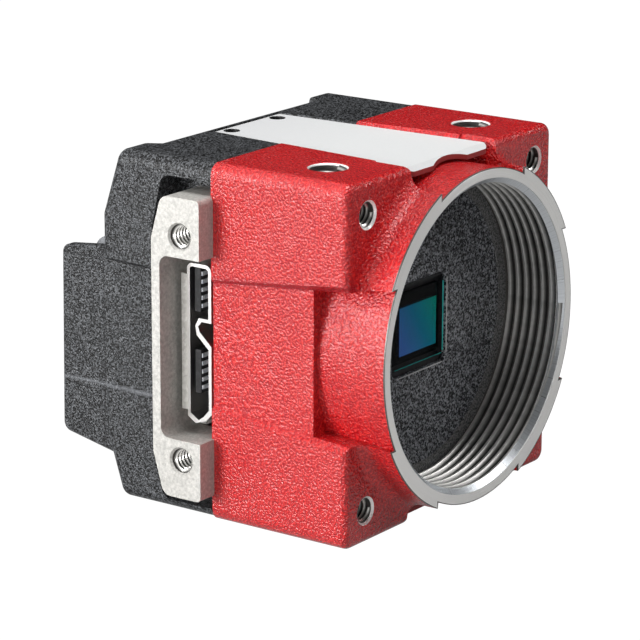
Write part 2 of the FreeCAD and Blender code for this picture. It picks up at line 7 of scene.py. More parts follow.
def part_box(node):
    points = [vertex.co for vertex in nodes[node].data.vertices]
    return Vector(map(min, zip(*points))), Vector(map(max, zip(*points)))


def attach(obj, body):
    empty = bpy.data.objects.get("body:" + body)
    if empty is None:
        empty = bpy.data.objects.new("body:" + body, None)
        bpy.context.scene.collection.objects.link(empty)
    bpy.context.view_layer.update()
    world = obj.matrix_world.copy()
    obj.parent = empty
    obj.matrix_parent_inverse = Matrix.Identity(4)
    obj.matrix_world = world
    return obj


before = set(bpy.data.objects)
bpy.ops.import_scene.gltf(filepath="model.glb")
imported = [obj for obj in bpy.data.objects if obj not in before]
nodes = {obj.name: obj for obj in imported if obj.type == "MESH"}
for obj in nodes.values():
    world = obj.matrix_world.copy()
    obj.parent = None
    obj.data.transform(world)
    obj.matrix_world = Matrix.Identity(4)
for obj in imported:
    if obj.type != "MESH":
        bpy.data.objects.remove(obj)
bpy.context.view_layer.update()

MM = 0.001

# ---- The set: floor, backdrop and light -------------------------------------
# A pale paper floor under and behind the camera body, lit by five soft panels
# and an even white room. None of it belongs to the object.

scene = bpy.context.scene
scene.view_settings.view_transform = "Standard"
FLOOR_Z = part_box("front_housing")[0].z
FLOOR_SIZE = 1.6
PAPER_GREY = (0.20, 0.20, 0.20, 1)
WHITE = (1, 1, 1, 1)


def new_material(name):
    """An empty node material with its Principled shader, ready to wire up."""
    mat = bpy.data.materials.new(name)
    mat.use_nodes = True
    shader = mat.node_tree.nodes["Principled BSDF"]
    return mat, mat.node_tree, shader


def add(tree, kind, **settings):
    """A node, with properties set by name and inputs set by their label."""
    node = tree.nodes.new(kind)
    for key, value in settings.items():
        label = key.replace("_", " ").title()
        if hasattr(node, key):
            setattr(node, key, value)
        else:
            node.inputs[label].default_value = value
    return node


def maths(tree, operation, first, second=None, third=None, clamp=False):
    """A Math node fed by sockets or plain numbers."""
    node = tree.nodes.new("ShaderNodeMath")
    node.operation = operation
    node.use_clamp = clamp
    for slot, value in zip(node.inputs, (first, second, third)):
        if value is None:
            continue
        if isinstance(value, (int, float)):
            slot.default_value = value
        else:
            tree.links.new(value, slot)
    return node.outputs[0]


def object_place(tree):
    """Object coordinates, whole and split into X, Y and Z."""
    coords = tree.nodes.new("ShaderNodeTexCoord")
    split = tree.nodes.new("ShaderNodeSeparateXYZ")
    tree.links.new(coords.outputs["Object"], split.inputs[0])
    return coords.outputs["Object"], split.outputs


def mix_shaders(tree, share, first, second, target):
    """Join two shaders by a share and wire the result to an output."""
    mix = tree.nodes.new("ShaderNodeMixShader")
    tree.links.new(share, mix.inputs[0])
    tree.links.new(first, mix.inputs[1])
    tree.links.new(second, mix.inputs[2])
    tree.links.new(mix.outputs[0], target)


def seen_straight(tree, path):
    """One for rays that come from the eye, also through glass."""
    return maths(tree, "MAXIMUM", path.outputs["Is Camera Ray"],
                 path.outputs["Is Transmission Ray"])


def floor_material():
    """Grey paper for light and shadow, glowing white where it is looked at."""
    mat, tree, shader = new_material("studio_paper")
    shader.inputs["Base Color"].default_value = PAPER_GREY
    shader.inputs["Roughness"].default_value = 0.9
    glow = add(tree, "ShaderNodeEmission", Strength=1.12)
    path = tree.nodes.new("ShaderNodeLightPath")
    share = maths(tree, "MULTIPLY", seen_straight(tree, path), 0.9)
    _, (x, y, z) = object_place(tree)
    # In reflections the paper is bright on the left and dim on the right.
    left = maths(tree, "MULTIPLY_ADD", x, -18.0, 0.0, clamp=True)
    card = maths(tree, "ADD", maths(tree, "MINIMUM", left, 0.65), 0.16)
    share = maths(tree, "MULTIPLY_ADD", path.outputs["Is Glossy Ray"], card, share)
    mix_shaders(tree, share, shader.outputs[0], glow.outputs[0],
                tree.nodes["Material Output"].inputs["Surface"])
    return mat


bpy.ops.object.select_all(action="DESELECT")
bpy.ops.mesh.primitive_plane_add(size=FLOOR_SIZE, location=(0, 0.3, FLOOR_Z))
sweep = bpy.context.object
sweep.name = "studio_sweep"
sweep.data.materials.append(floor_material())

world = bpy.data.worlds.new("studio_room")
scene.world = world
world.use_nodes = True
room = world.node_tree
room_coords = room.nodes.new("ShaderNodeTexCoord")
toward_paper = room.nodes.new("ShaderNodeVectorMath")
toward_paper.operation = "DOT_PRODUCT"
toward_paper.inputs[1].default_value = Vector((-0.72, 0.62, 0.30)).normalized()
room.links.new(room_coords.outputs["Generated"], toward_paper.inputs[0])
bright_side = maths(room, "MULTIPLY_ADD", toward_paper.outputs["Value"], 0.5, 0.5)
fill = room.nodes["Background"]
reflected = add(room, "ShaderNodeBackground")
backdrop = add(room, "ShaderNodeBackground", Strength=1.0)
for background in (fill, reflected, backdrop):
    background.inputs["Color"].default_value = WHITE
fill_level = maths(room, "MULTIPLY_ADD", bright_side, 0.22, 0.06)
room.links.new(fill_level, fill.inputs["Strength"])
reflected_level = maths(room, "MULTIPLY_ADD", bright_side, 2.2, -0.98, clamp=True)
room.links.new(reflected_level, reflected.inputs["Strength"])
room_path = room.nodes.new("ShaderNodeLightPath")
room_mix = room.nodes.new("ShaderNodeMixShader")
mix_shaders(room, room_path.outputs["Is Glossy Ray"], fill.outputs[0], reflected.outputs[0],
            room_mix.inputs[1])
room.links.new(seen_straight(room, room_path), room_mix.inputs[0])
room.links.new(backdrop.outputs[0], room_mix.inputs[2])
room.links.new(room_mix.outputs[0], room.nodes["World Output"].inputs["Surface"])


def softbox(name, place, size, watts):
    """A square soft panel aimed at the middle of the camera body."""
    lamp = bpy.data.lights.new(name, "AREA")
    lamp.shape = "SQUARE"
    lamp.size = size
    lamp.energy = watts
    panel = bpy.data.objects.new(name, lamp)
    scene.collection.objects.link(panel)
    panel.location = place
    aim = Vector((0, 0.012, 0)) - Vector(place)
    panel.rotation_euler = aim.to_track_quat("-Z", "Y").to_euler()


softbox("key_panel", (-0.37, 0.19, 0.04), 0.15, 1.75)
softbox("rim_panel", (-0.32, 0.29, 0.27), 0.07, 0.65)
softbox("top_panel", (0.0, -0.02, 0.50), 0.24, 2.35)
softbox("front_panel", (0.34, -0.30, 0.24), 0.16, 0.65)
softbox("edge_panel", (-0.38, -0.16, 0.03), 0.07, 0.45)

# ---- View ---------------------------------------------------------------------
# A long lens from the front left and a little above the body, turned a touch
# about its own axis.

AZIMUTH = math.radians(-54.361)
ELEVATION = math.radians(15.585)
ROLL = math.radians(-0.22)
DISTANCE = 259.307 * MM
MIDDLE = Vector((0, 12 * MM, 0))
SIDESTEP = Vector((-2.984 * MM, -0.592 * MM, 0))
level = (Matrix.Rotation(AZIMUTH, 3, "Z")
         @ Matrix.Rotation(math.pi / 2 - ELEVATION, 3, "X"))
rolled = level @ Matrix.Rotation(-ROLL, 3, "Z")
aim_point = MIDDLE + level @ SIDESTEP
eye = bpy.data.cameras.new("view")
eye.sensor_width = 36
eye.lens = 179.96
eye.clip_start = 0.01
camera = bpy.data.objects.new("view", eye)
scene.collection.objects.link(camera)
stand_point = aim_point + rolled @ Vector((0, 0, DISTANCE))
camera.matrix_world = Matrix.Translation(stand_point) @ rolled.to_4x4()
scene.camera = camera

# ---- Front casting --------------------------------------------------------------
# Die-cast aluminium, held to the rear casting by four screws from behind. It
# was powder coated in wrinkled red with the lens flange and the holes masked,
# so those faces are bare, turned or drilled.

RED = (0.76, 0.020, 0.018, 1)
# RED_VALLEY_SHADE is painted shade for the wrinkle valleys.
RED_VALLEY_SHADE = (0.44, 0.003, 0.008, 1)
# RED_STEP_SHADE is painted shade for the upper side step.
RED_STEP_SHADE = (0.36, 0.001, 0.008, 1)
BARE = (0.93, 0.92, 0.90, 1)
BARE_SHADE = (0.08, 0.075, 0.07, 1)
THREAD_MAJOR = 12.7 * MM
WELL_FLOOR = 5.85 * MM
FRONT_HOLE = 11.8 * MM
SIDE_HOLE_X = 10.0 * MM
SIDE_HOLE_Y = 7.8 * MM
POST_FACE = 2.8 * MM
TOP_FACE = 14.5 * MM
BARE_ROUND_M2 = 1.16 * MM
BARE_ROUND_M3 = 1.60 * MM
RING_EDGE = 13.93 * MM
STRIP_BAND_HALF = 5.95 * MM
SIDE_BAND_HALF = 6.45 * MM


def length(tree, a, b):
    """Distance from the origin in two coordinates."""
    return maths(tree, "SQRT", maths(tree, "MULTIPLY_ADD", a, a, maths(tree, "MULTIPLY", b, b)))


def blend(tree, factor, first, second):
    """Two colours mixed by a factor; each is a socket or a fixed colour."""
    mix = tree.nodes.new("ShaderNodeMix")
    mix.data_type = "RGBA"
    tree.links.new(factor, mix.inputs["Factor"])
    for label, colour in (("A", first), ("B", second)):
        if isinstance(colour, (tuple, list)):
            mix.inputs[label].default_value = colour
        else:
            tree.links.new(colour, mix.inputs[label])
    return mix.outputs["Result"]


def noise(tree, place, scale, detail, roughness=0.5):
    """Noise in object space, from 0 to 1."""
    texture = add(tree, "ShaderNodeTexNoise", Scale=scale, Detail=detail, Roughness=roughness)
    tree.links.new(place, texture.inputs["Vector"])
    return texture.outputs["Fac"]


def relief(tree, height, depth, target, strength=1.0):
    """Raise a surface by a height map and wire it to a normal input."""
    bump = add(tree, "ShaderNodeBump", Strength=strength, Distance=depth)
    tree.links.new(height, bump.inputs["Height"])
    tree.links.new(bump.outputs[0], target)


def place_mask_group():
    """Masks of bare places and painted shade on the front casting, from where a point lies."""
    group = bpy.data.node_groups.new("bare_places", "ShaderNodeTree")
    for name in ("Mask", "Shade", "Radius", "StepShade", "Floor"):
        group.interface.new_socket(name, in_out="OUTPUT", socket_type="NodeSocketFloat")
    out = group.nodes.new("NodeGroupOutput")

    def calc(operation, first, second=None, third=None, clamp=False):
        return maths(group, operation, first, second, third, clamp)

    _, (x, y, z) = object_place(group)
    across = calc("ABSOLUTE", x)
    upright = calc("ABSOLUTE", z)
    radius = length(group, x, z)

    # Bare metal: the ring's front, the bore, and round every hole.
    flange = calc("LESS_THAN", y, 0.1 * MM)
    bore = calc("LESS_THAN", radius, THREAD_MAJOR + 0.02 * MM)
    front = length(group, calc("SUBTRACT", across, FRONT_HOLE),
                   calc("SUBTRACT", upright, FRONT_HOLE))
    front = calc("LESS_THAN", front, BARE_ROUND_M2)
    side = length(group, calc("SUBTRACT", across, SIDE_HOLE_X),
                  calc("SUBTRACT", y, SIDE_HOLE_Y))
    side = calc("MULTIPLY", calc("LESS_THAN", side, BARE_ROUND_M3),
                calc("GREATER_THAN", upright, 10.0 * MM))
    mask = calc("MAXIMUM", calc("MAXIMUM", flange, bore), calc("MAXIMUM", front, side))

    # Shade: inside the holes, under the thread, and the ring's outer edge.
    in_front = calc("MULTIPLY", front, calc("GREATER_THAN", y, POST_FACE + 0.2 * MM))
    in_side = calc("MULTIPLY", side, calc("LESS_THAN", upright, TOP_FACE - 0.2 * MM))
    band = calc("MAXIMUM", calc("LESS_THAN", across, STRIP_BAND_HALF),
                calc("LESS_THAN", upright, SIDE_BAND_HALF))
    edge = calc("MULTIPLY_ADD", band, -0.5 * MM, RING_EDGE)
    outline = calc("MULTIPLY", calc("GREATER_THAN", radius, edge), flange)
    groove = calc("MULTIPLY", bore, calc("GREATER_THAN", y, 0.9 * MM))
    shade = calc("MAXIMUM", calc("MAXIMUM", in_front, in_side),
                 calc("MAXIMUM", outline, groove))

    # Painted shade: the upper step along the sides is coloured darker, standing in for its shade.
    step = calc("MULTIPLY_ADD", y, 0.0955, z)
    step = calc("ABSOLUTE", calc("SUBTRACT", step, 6.65 * MM))
    step = calc("MULTIPLY_ADD", step, -2.6 / MM, 1.3, clamp=True)
    step_shade = calc("MULTIPLY", step, calc("GREATER_THAN", across, 13.3 * MM))

    well_floor = calc("MULTIPLY", bore, calc("GREATER_THAN", y, WELL_FLOOR - 0.02 * MM))
    for name, value in (("Mask", mask), ("Shade", shade), ("Radius", radius),
                        ("StepShade", step_shade), ("Floor", well_floor)):
        group.links.new(value, out.inputs[name])
    return group


def red_coat():
    """Wrinkled red under a thin clear coat, and bare metal where it was masked."""
    mat, tree, shader = new_material("red_wrinkle_coat")
    links = tree.links
    place = tree.nodes.new("ShaderNodeTexCoord").outputs["Object"]
    masks = tree.nodes.new("ShaderNodeGroup")
    masks.node_tree = place_mask_group()
    masks = masks.outputs

    wrinkle = noise(tree, place, 4900.0, 1.5)
    cloud = noise(tree, place, 300.0, 2.0)
    # Painted highlight on wrinkle tips, painted shade in the valleys, random tone from the cloud.
    tips = maths(tree, "MULTIPLY_ADD", wrinkle, 3.8, -1.6, clamp=True)
    tips = maths(tree, "SUBTRACT", tips, 0.15)
    tips = maths(tree, "MULTIPLY_ADD", cloud, 0.3, tips, clamp=True)
    tone = blend(tree, tips, RED_VALLEY_SHADE, RED)
    # Painted shade on the upper side step.
    step_shade_share = maths(tree, "MULTIPLY", masks["StepShade"], 0.85)
    links.new(blend(tree, step_shade_share, tone, RED_STEP_SHADE), shader.inputs["Base Color"])
    gloss = maths(tree, "MULTIPLY_ADD", cloud, 0.1, 0.18)
    links.new(gloss, shader.inputs["Roughness"])
    shader.inputs["Specular IOR Level"].default_value = 0.3
    relief(tree, wrinkle, 0.32 * MM, shader.inputs["Normal"])
    shader.inputs["Coat Weight"].default_value = 0.6
    shader.inputs["Coat Roughness"].default_value = 0.14
    relief(tree, wrinkle, 0.10 * MM, shader.inputs["Coat Normal"])

    metal = tree.nodes.new("ShaderNodeBsdfPrincipled")
    bare = blend(tree, masks["Shade"], BARE, BARE_SHADE)
    sand = noise(tree, place, 6000.0, 2.0, 0.7)
    sand = maths(tree, "MULTIPLY_ADD", sand, 1.0, -0.36, clamp=True)
    links.new(blend(tree, masks["Floor"], bare, sand), metal.inputs["Base Color"])
    shine = maths(tree, "MULTIPLY_ADD", masks["Floor"], -0.4, 0.4)
    links.new(shine, metal.inputs["Metallic"])
    metal.inputs["Roughness"].default_value = 0.34
    lathe = add(tree, "ShaderNodeTexNoise", noise_dimensions="1D", Scale=14000.0, Detail=2.0)
    links.new(masks["Radius"], lathe.inputs["W"])
    relief(tree, lathe.outputs["Fac"], 0.035 * MM, metal.inputs["Normal"])
    mix_shaders(tree, masks["Mask"], shader.outputs[0], metal.outputs[0],
                tree.nodes["Material Output"].inputs["Surface"])
    return mat


def dress(node, mat):
    """Give a CAD node its finish."""
    mesh = nodes[node].data
    mesh.materials.clear()
    mesh.materials.append(mat)


dress("front_housing", red_coat())

# ---- Lens thread ----------------------------------------------------------------
# The 1-32 UN thread is cut straight into the front casting. Its ridge stands
# 0.43 mm proud of the major diameter, and a turned lead-in opens the mouth.

PITCH = 25.4 / 32 * MM
CREST = 12.27 * MM
FOOT_IN_WALL = 0.03 * MM
THREAD_START = 0.45 * MM
MOUTH_STRETCH = 1.55
MOUTH_MIDDLE = 0.475 * MM


def darkened(colour, share):
    return [c * (1 - share) for c in colour[:3]] + [1]


def turned_metal(name, colour, roughness, ribs, rib_depth, groove_shade=0.0):
    """Bare turned aluminium: chatter marks round the axis, painted shade in its grooves."""
    mat, tree, shader = new_material(name)
    place, (x, y, z) = object_place(tree)
    angle = maths(tree, "ARCTAN2", z, x)
    chatter = add(tree, "ShaderNodeTexNoise", noise_dimensions="1D", Scale=ribs, Detail=1.0)
    tree.links.new(angle, chatter.inputs["W"])
    chatter = chatter.outputs["Fac"]
    grain = noise(tree, place, 9000.0, 2.0)
    height = maths(tree, "MULTIPLY_ADD", grain, 0.4, chatter)
    relief(tree, height, rib_depth, shader.inputs["Normal"], 0.5)
    gloss = maths(tree, "MULTIPLY_ADD", chatter, 0.12, roughness - 0.05)
    tree.links.new(gloss, shader.inputs["Roughness"])
    # Painted shade: the groove attribute darkens the roots and flanks, leaving the crests bright.
    depth = add(tree, "ShaderNodeAttribute", attribute_name="groove")
    tone = tree.nodes.new("ShaderNodeValToRGB")
    crest, root = tone.color_ramp.elements
    crest.position = 0.12
    crest.color = colour
    root.position = 0.8
    root.color = darkened(colour, groove_shade)
    flank = tone.color_ramp.elements.new(0.4)
    flank.color = darkened(colour, 0.55 * groove_shade)
    tree.links.new(depth.outputs["Fac"], tone.inputs["Fac"])
    mark = maths(tree, "MULTIPLY_ADD", chatter, 0.5, 0.72, clamp=True)
    tint = add(tree, "ShaderNodeVectorMath", operation="SCALE")
    tree.links.new(tone.outputs["Color"], tint.inputs[0])
    tree.links.new(mark, tint.inputs["Scale"])
    tree.links.new(tint.outputs[0], shader.inputs["Base Color"])
    shader.inputs["Metallic"].default_value = 0.9
    return mat


def edit(piece):
    """Start work on one piece in edit mode with everything selected."""
    bpy.ops.object.select_all(action="DESELECT")
    bpy.context.view_layer.objects.active = piece
    piece.select_set(True)
    bpy.ops.object.mode_set(mode="EDIT")
    bpy.ops.mesh.select_all(action="SELECT")


def finish_edit():
    bpy.ops.object.mode_set(mode="OBJECT")


def vee(name, apex, foot):
    """A 60 degree vee pointing at the Y axis, from a foot radius to an apex radius."""
    reach = (foot - apex) / 1.5
    bpy.ops.object.select_all(action="DESELECT")
    bpy.ops.mesh.primitive_circle_add(vertices=3, radius=reach, fill_type="NGON",
                                      location=(foot - reach / 2, 0, 0),
                                      rotation=(0, 0, math.pi / 2))
    bpy.ops.object.transform_apply(location=True, rotation=True, scale=False)
    profile = bpy.context.object
    profile.name = name
    return profile


def turn(piece, steps, **settings):
    """Turn an outline about the Y axis and leave it a closed, outward surface."""
    screw = piece.modifiers.new("turn", "SCREW")
    screw.axis = "Y"
    screw.steps = screw.render_steps = steps
    screw.use_smooth_shade = False
    for key, value in settings.items():
        setattr(screw, key, value)
    bpy.ops.object.modifier_apply(modifier="turn")
    edit(piece)
    bpy.ops.mesh.remove_doubles(threshold=1e-7)


def thread_ridge(name, root, crest, pitch, turns, steps):
    """A helical ridge with a flat crest about the Y axis, its foot in the wall."""
    ridge = vee(name, crest - pitch / 10 * math.sqrt(3), root + FOOT_IN_WALL)
    edit(ridge)
    bpy.ops.mesh.bisect(plane_co=(crest, 0, 0), plane_no=(1, 0, 0), clear_inner=True,
                        threshold=1e-7)
    bpy.ops.mesh.select_all(action="SELECT")
    bpy.ops.mesh.delete(type="ONLY_FACE")
    finish_edit()
    turn(ridge, round(steps * turns), angle=2 * math.pi * turns, screw_offset=pitch * turns)
    bpy.ops.mesh.select_all(action="DESELECT")
    bpy.ops.mesh.select_non_manifold()
    bpy.ops.mesh.edge_face_add()
    bpy.ops.mesh.select_all(action="SELECT")
    bpy.ops.mesh.normals_make_consistent(inside=False)
    finish_edit()
    groove = ridge.data.attributes.new("groove", "FLOAT", "POINT")
    for vertex, depth in zip(ridge.data.vertices, groove.data):
        depth.value = (math.hypot(vertex.co.x, vertex.co.z) - crest) / (root - crest)
    return ridge


def settle(piece, mat):
    """Fix a finished piece in place on the camera body."""
    bpy.ops.object.select_all(action="DESELECT")
    piece.select_set(True)
    bpy.context.view_layer.objects.active = piece
    bpy.ops.object.transform_apply(location=True, rotation=True, scale=True)
    piece.data.materials.clear()
    piece.data.materials.append(mat)
    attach(piece, "root")


turned_thread = turned_metal("turned_thread", (0.68, 0.67, 0.65, 1), 0.40, 14.0, 0.004 * MM, 0.90)
lens_thread = thread_ridge("lens_thread", THREAD_MAJOR, CREST, PITCH, 6.75, 144)
lens_thread.location = (0, THREAD_START, 0)
settle(lens_thread, turned_thread)

mouth = vee("mouth_chamfer", CREST - 0.01 * MM, THREAD_MAJOR + 0.02 * MM)
bpy.ops.transform.resize(value=(1, MOUTH_STRETCH, 1))
bpy.ops.transform.translate(value=(0, MOUTH_MIDDLE, 0))
bpy.ops.object.transform_apply(location=True, rotation=False, scale=True)
edit(mouth)
bpy.ops.mesh.delete(type="ONLY_FACE")
finish_edit()
turn(mouth, 192, use_merge_vertices=True)
bpy.ops.mesh.normals_make_consistent(inside=False)
finish_edit()
chattered = turned_metal("chattered_chamfer", (0.74, 0.77, 0.80, 1), 0.3, 90.0, 0.02 * MM)
settle(mouth, chattered)

# ---- Screw threads ----------------------------------------------------------------
# M2 threads in the four posts and the two port locks, M3 threads above and
# below. Each is tapped into bare metal, so the turns stay bright.

PORT_Y = 17.4 * MM
PORT_Z = -0.3 * MM
LOCK_HOLE = 9.1 * MM
BRACKET_FACE = -16.3 * MM
CHAMFER_DEPTH = 0.35 * MM
tapped_metal = turned_metal("tapped_thread", (0.92, 0.90, 0.86, 1), 0.3, 8.0, 0.004 * MM, 0.93)


def tap(name, radius, pitch, turns, holes):
    """Tap equal holes: one helix, copied to each hole from just under its chamfer."""
    ridge = thread_ridge(name + "_1", radius, 0.84 * radius - 0.05 * MM, pitch, turns, 32)
    ridges = [ridge]
    for number in range(2, len(holes) + 1):
        twin = ridge.copy()
        twin.data = ridge.data.copy()
        twin.name = "%s_%d" % (name, number)
        scene.collection.objects.link(twin)
        ridges.append(twin)
    for piece, (place, outward) in zip(ridges, holes):
        inward = -Vector(outward)
        piece.rotation_euler = inward.to_track_quat("Y", "Z").to_euler()
        piece.location = Vector(place) + inward * CHAMFER_DEPTH
        settle(piece, tapped_metal)


CORNERS = ((-1, -1), (-1, 1), (1, -1), (1, 1))
tap("post_thread", 1.0 * MM, 0.4 * MM, 8,
    [((sx * FRONT_HOLE, POST_FACE, sz * FRONT_HOLE), (0, -1, 0)) for sx, sz in CORNERS])
tap("mounting_thread", 1.5 * MM, 0.5 * MM, 5,
    [((sx * SIDE_HOLE_X, SIDE_HOLE_Y, sz * TOP_FACE), (0, 0, sz)) for sx, sz in CORNERS])
tap("lock_thread", 1.0 * MM, 0.4 * MM, 8,
    [((BRACKET_FACE, PORT_Y, PORT_Z + sz * LOCK_HOLE), (-1, 0, 0)) for sz in (-1, 1)])

# ---- Rear casting -------------------------------------------------------------------
# Die-cast aluminium in a fine sandy dark grey coat, screwed to the front
# casting. Painted shade darkens the upper side band edge and the guard's foot,
# and a painted highlight pales the band's lower edge.

BAND_EDGE = 5.25 * MM
GUARD_FOOT = 26.85 * MM


def sandy_coat(name, base, fleck, scale, depth, roughness):
    """A dull coat with a sandy grain and paler flecks on its tips."""
    mat, tree, shader = new_material(name)
    place = tree.nodes.new("ShaderNodeTexCoord").outputs["Object"]
    sand = noise(tree, place, scale, 1.0)
    grains = add(tree, "ShaderNodeTexVoronoi", Scale=scale * 1.15)
    tree.links.new(place, grains.inputs["Vector"])
    pick = tree.nodes.new("ShaderNodeSeparateColor")
    tree.links.new(grains.outputs["Color"], pick.inputs[0])
    level = maths(tree, "MULTIPLY_ADD", pick.outputs[0], 0.45,
                  maths(tree, "MULTIPLY", sand, 0.6))
    relief(tree, level, depth, shader.inputs["Normal"])
    ramp = tree.nodes.new("ShaderNodeValToRGB")
    low, high = ramp.color_ramp.elements
    low.position = 0.44
    low.color = base
    high.position = 0.78
    high.color = fleck
    tree.links.new(level, ramp.inputs["Fac"])
    tree.links.new(ramp.outputs["Color"], shader.inputs["Base Color"])
    shader.inputs["Specular IOR Level"].default_value = 0.25
    shader.inputs["Roughness"].default_value = roughness
    return mat


def overlay(mat, layers):
    """Lay colours over a finish, each by its own mask."""
    tree = mat.node_tree
    target = tree.nodes["Principled BSDF"].inputs["Base Color"]
    under = target.links[0].from_socket
    for factor, colour in layers:
        under = blend(tree, factor, under, colour)
    tree.links.new(under, target)


def line_mask(tree, across, centre, width):
    """A soft line where one coordinate passes a given value."""
    away = maths(tree, "ABSOLUTE", maths(tree, "SUBTRACT", across, centre))
    return maths(tree, "MULTIPLY_ADD", away, -1.0 / width, 1.0, clamp=True)


rear_coat = sandy_coat("dark_sandy_coat", (0.001, 0.001, 0.0011, 1),
                       (0.118, 0.123, 0.131, 1), 6600.0, 0.12 * MM, 0.30)
rear = rear_coat.node_tree
_, (x, y, z) = object_place(rear)
# Painted shade on the upper band edge and the guard's foot, painted highlight on the lower edge.
on_side = maths(rear, "GREATER_THAN", maths(rear, "ABSOLUTE", x), 13.0 * MM)
painted_band_shade = maths(rear, "MAXIMUM", line_mask(rear, z, BAND_EDGE, 0.22 * MM),
             line_mask(rear, y, GUARD_FOOT, 0.14 * MM))
painted_band_shade = maths(rear, "MULTIPLY", maths(rear, "MULTIPLY", painted_band_shade, on_side), 0.75)
painted_band_highlight = maths(rear, "MULTIPLY", line_mask(rear, z, -BAND_EDGE, 0.20 * MM), on_side)
painted_band_highlight = maths(rear, "MULTIPLY", painted_band_highlight, 0.45)
overlay(rear_coat, ((painted_band_shade, (0.008, 0.008, 0.009, 1)), (painted_band_highlight, (0.26, 0.27, 0.29, 1))))
dress("rear_housing", rear_coat)

# ---- Cover strips ---------------------------------------------------------------------
# Thin satin stainless sheets bonded into the top and bottom channels, with a
# bent lip in front and two small holes behind. The lip's front face is coloured
# dark red as a painted reflection of the red coat, and the holes as painted shade.

STRIP_HOLE_X = 3.1 * MM
STRIP_HOLE_Y = 22.3 * MM
STRIP_HOLE_R = 0.68 * MM


def brushed_metal(name, colour, roughness, fineness, depth, metallic=1.0, mottle=0.0):
    """Satin metal with a fine grain, mottled where mottle is above zero."""
    mat, tree, shader = new_material(name)
    place = tree.nodes.new("ShaderNodeTexCoord").outputs["Object"]
    finer = tree.nodes.new("ShaderNodeMapping")
    finer.inputs["Scale"].default_value = (fineness, fineness, fineness)
    tree.links.new(place, finer.inputs["Vector"])
    grain = noise(tree, finer.outputs[0], 1000.0, 4.0, 0.6)
    relief(tree, grain, depth, shader.inputs["Normal"], 0.3)
    gloss = maths(tree, "MULTIPLY_ADD", grain, 0.15, roughness)
    tree.links.new(gloss, shader.inputs["Roughness"])
    spread = maths(tree, "MULTIPLY_ADD", grain, 3.0, -1.0, clamp=True)
    pale = [min(1, c * (1 + mottle)) for c in colour[:3]] + [1]
    tone = blend(tree, spread, darkened(colour, mottle), pale)
    tree.links.new(tone, shader.inputs["Base Color"])
    shader.inputs["Metallic"].default_value = metallic
    return mat


strip_metal = brushed_metal("satin_strip", (0.73, 0.74, 0.74, 1), 0.42, 6.0, 0.008 * MM,
                            metallic=0.25, mottle=0.02)
strip = strip_metal.node_tree
_, (x, y, z) = object_place(strip)
facing = strip.nodes.new("ShaderNodeSeparateXYZ")
strip.links.new(strip.nodes["Texture Coordinate"].outputs["Normal"], facing.inputs[0])
# Painted shade in the two holes.
from_hole = length(strip, maths(strip, "SUBTRACT", maths(strip, "ABSOLUTE", x), STRIP_HOLE_X),
                   maths(strip, "SUBTRACT", y, STRIP_HOLE_Y))
hole_shade = maths(strip, "LESS_THAN", from_hole, STRIP_HOLE_R)
# Painted reflection: the lip's front face takes a dark red from the coat.
lip = maths(strip, "LESS_THAN", facing.outputs[1], -0.8)
# Darker towards the rear.
toward_rear = maths(strip, "MULTIPLY_ADD", y, 45.0, -0.55, clamp=True)
overlay(strip_metal, ((toward_rear, (0.62, 0.62, 0.63, 1)), (lip, (0.30, 0.035, 0.035, 1)),
                      (hole_shade, (0.03, 0.03, 0.03, 1))))
dress("top_strip", strip_metal)
dress("bottom_strip", strip_metal)

# ---- Port bracket and receptacle --------------------------------------------------------
# Bead-blasted zinc bracket screwed round the port, and the folded steel shell
# of the receptacle, soldered to its board, with moulded tongues and contacts.

LOCK_BARE_R = 1.03 * MM
bracket_metal = brushed_metal("blasted_bracket", (0.45, 0.44, 0.415, 1), 0.45, 4.2, 0.10 * MM,
                              metallic=0.3, mottle=0.22)
bracket = bracket_metal.node_tree
_, (x, y, z) = object_place(bracket)
# Painted shade inside the two lock holes.
up = maths(bracket, "ABSOLUTE", maths(bracket, "SUBTRACT", z, PORT_Z))
from_lock = length(bracket, maths(bracket, "SUBTRACT", up, LOCK_HOLE),
                   maths(bracket, "SUBTRACT", y, PORT_Y))
lock_hole_shade = maths(bracket, "MULTIPLY", maths(bracket, "LESS_THAN", from_lock, LOCK_BARE_R),
                maths(bracket, "GREATER_THAN", x, BRACKET_FACE + 0.2 * MM))
overlay(bracket_metal, ((lock_hole_shade, (0.08, 0.07, 0.06, 1)),))
dress("usb_bracket", bracket_metal)
dress("usb_shell", brushed_metal("plated_port_shell", (0.66, 0.65, 0.63, 1), 0.24, 2.0,
                                 0.01 * MM))
dress("usb_insert", sandy_coat("port_moulding", (0.012, 0.012, 0.013, 1),
                               (0.03, 0.03, 0.032, 1), 3000.0, 0.01 * MM, 0.4))
dress("usb_contacts", brushed_metal("contact_plating", (0.74, 0.80, 0.95, 1), 0.25, 5.0,
                                    0.03 * MM, metallic=0.6, mottle=0.35))

# ---- Sensor and holder ----------------------------------------------------------------------
# Black anodised holder clamped behind the lens well, with a chamfered window
# over the sensor: a ceramic package, its silicon, and a cemented glass lid.

WINDOW_RIGHT = 3.85 * MM
WINDOW_LOW = -3.75 * MM
HOLDER_FRONT = 5.86 * MM
GLASS_FRONT = 5.95 * MM
GLASS_HALF = (3.55 * MM, 3.1 * MM)
ACTIVE_CENTRE = (0.45 * MM, -0.28 * MM)
ACTIVE_HALF = (2.62 * MM, 2.0 * MM)

holder_coat = sandy_coat("black_anodised", (0.003, 0.0035, 0.005, 1), (0.38, 0.39, 0.42, 1),
                         6400.0, 0.10 * MM, 0.32)
holder = holder_coat.node_tree
_, (x, y, z) = object_place(holder)
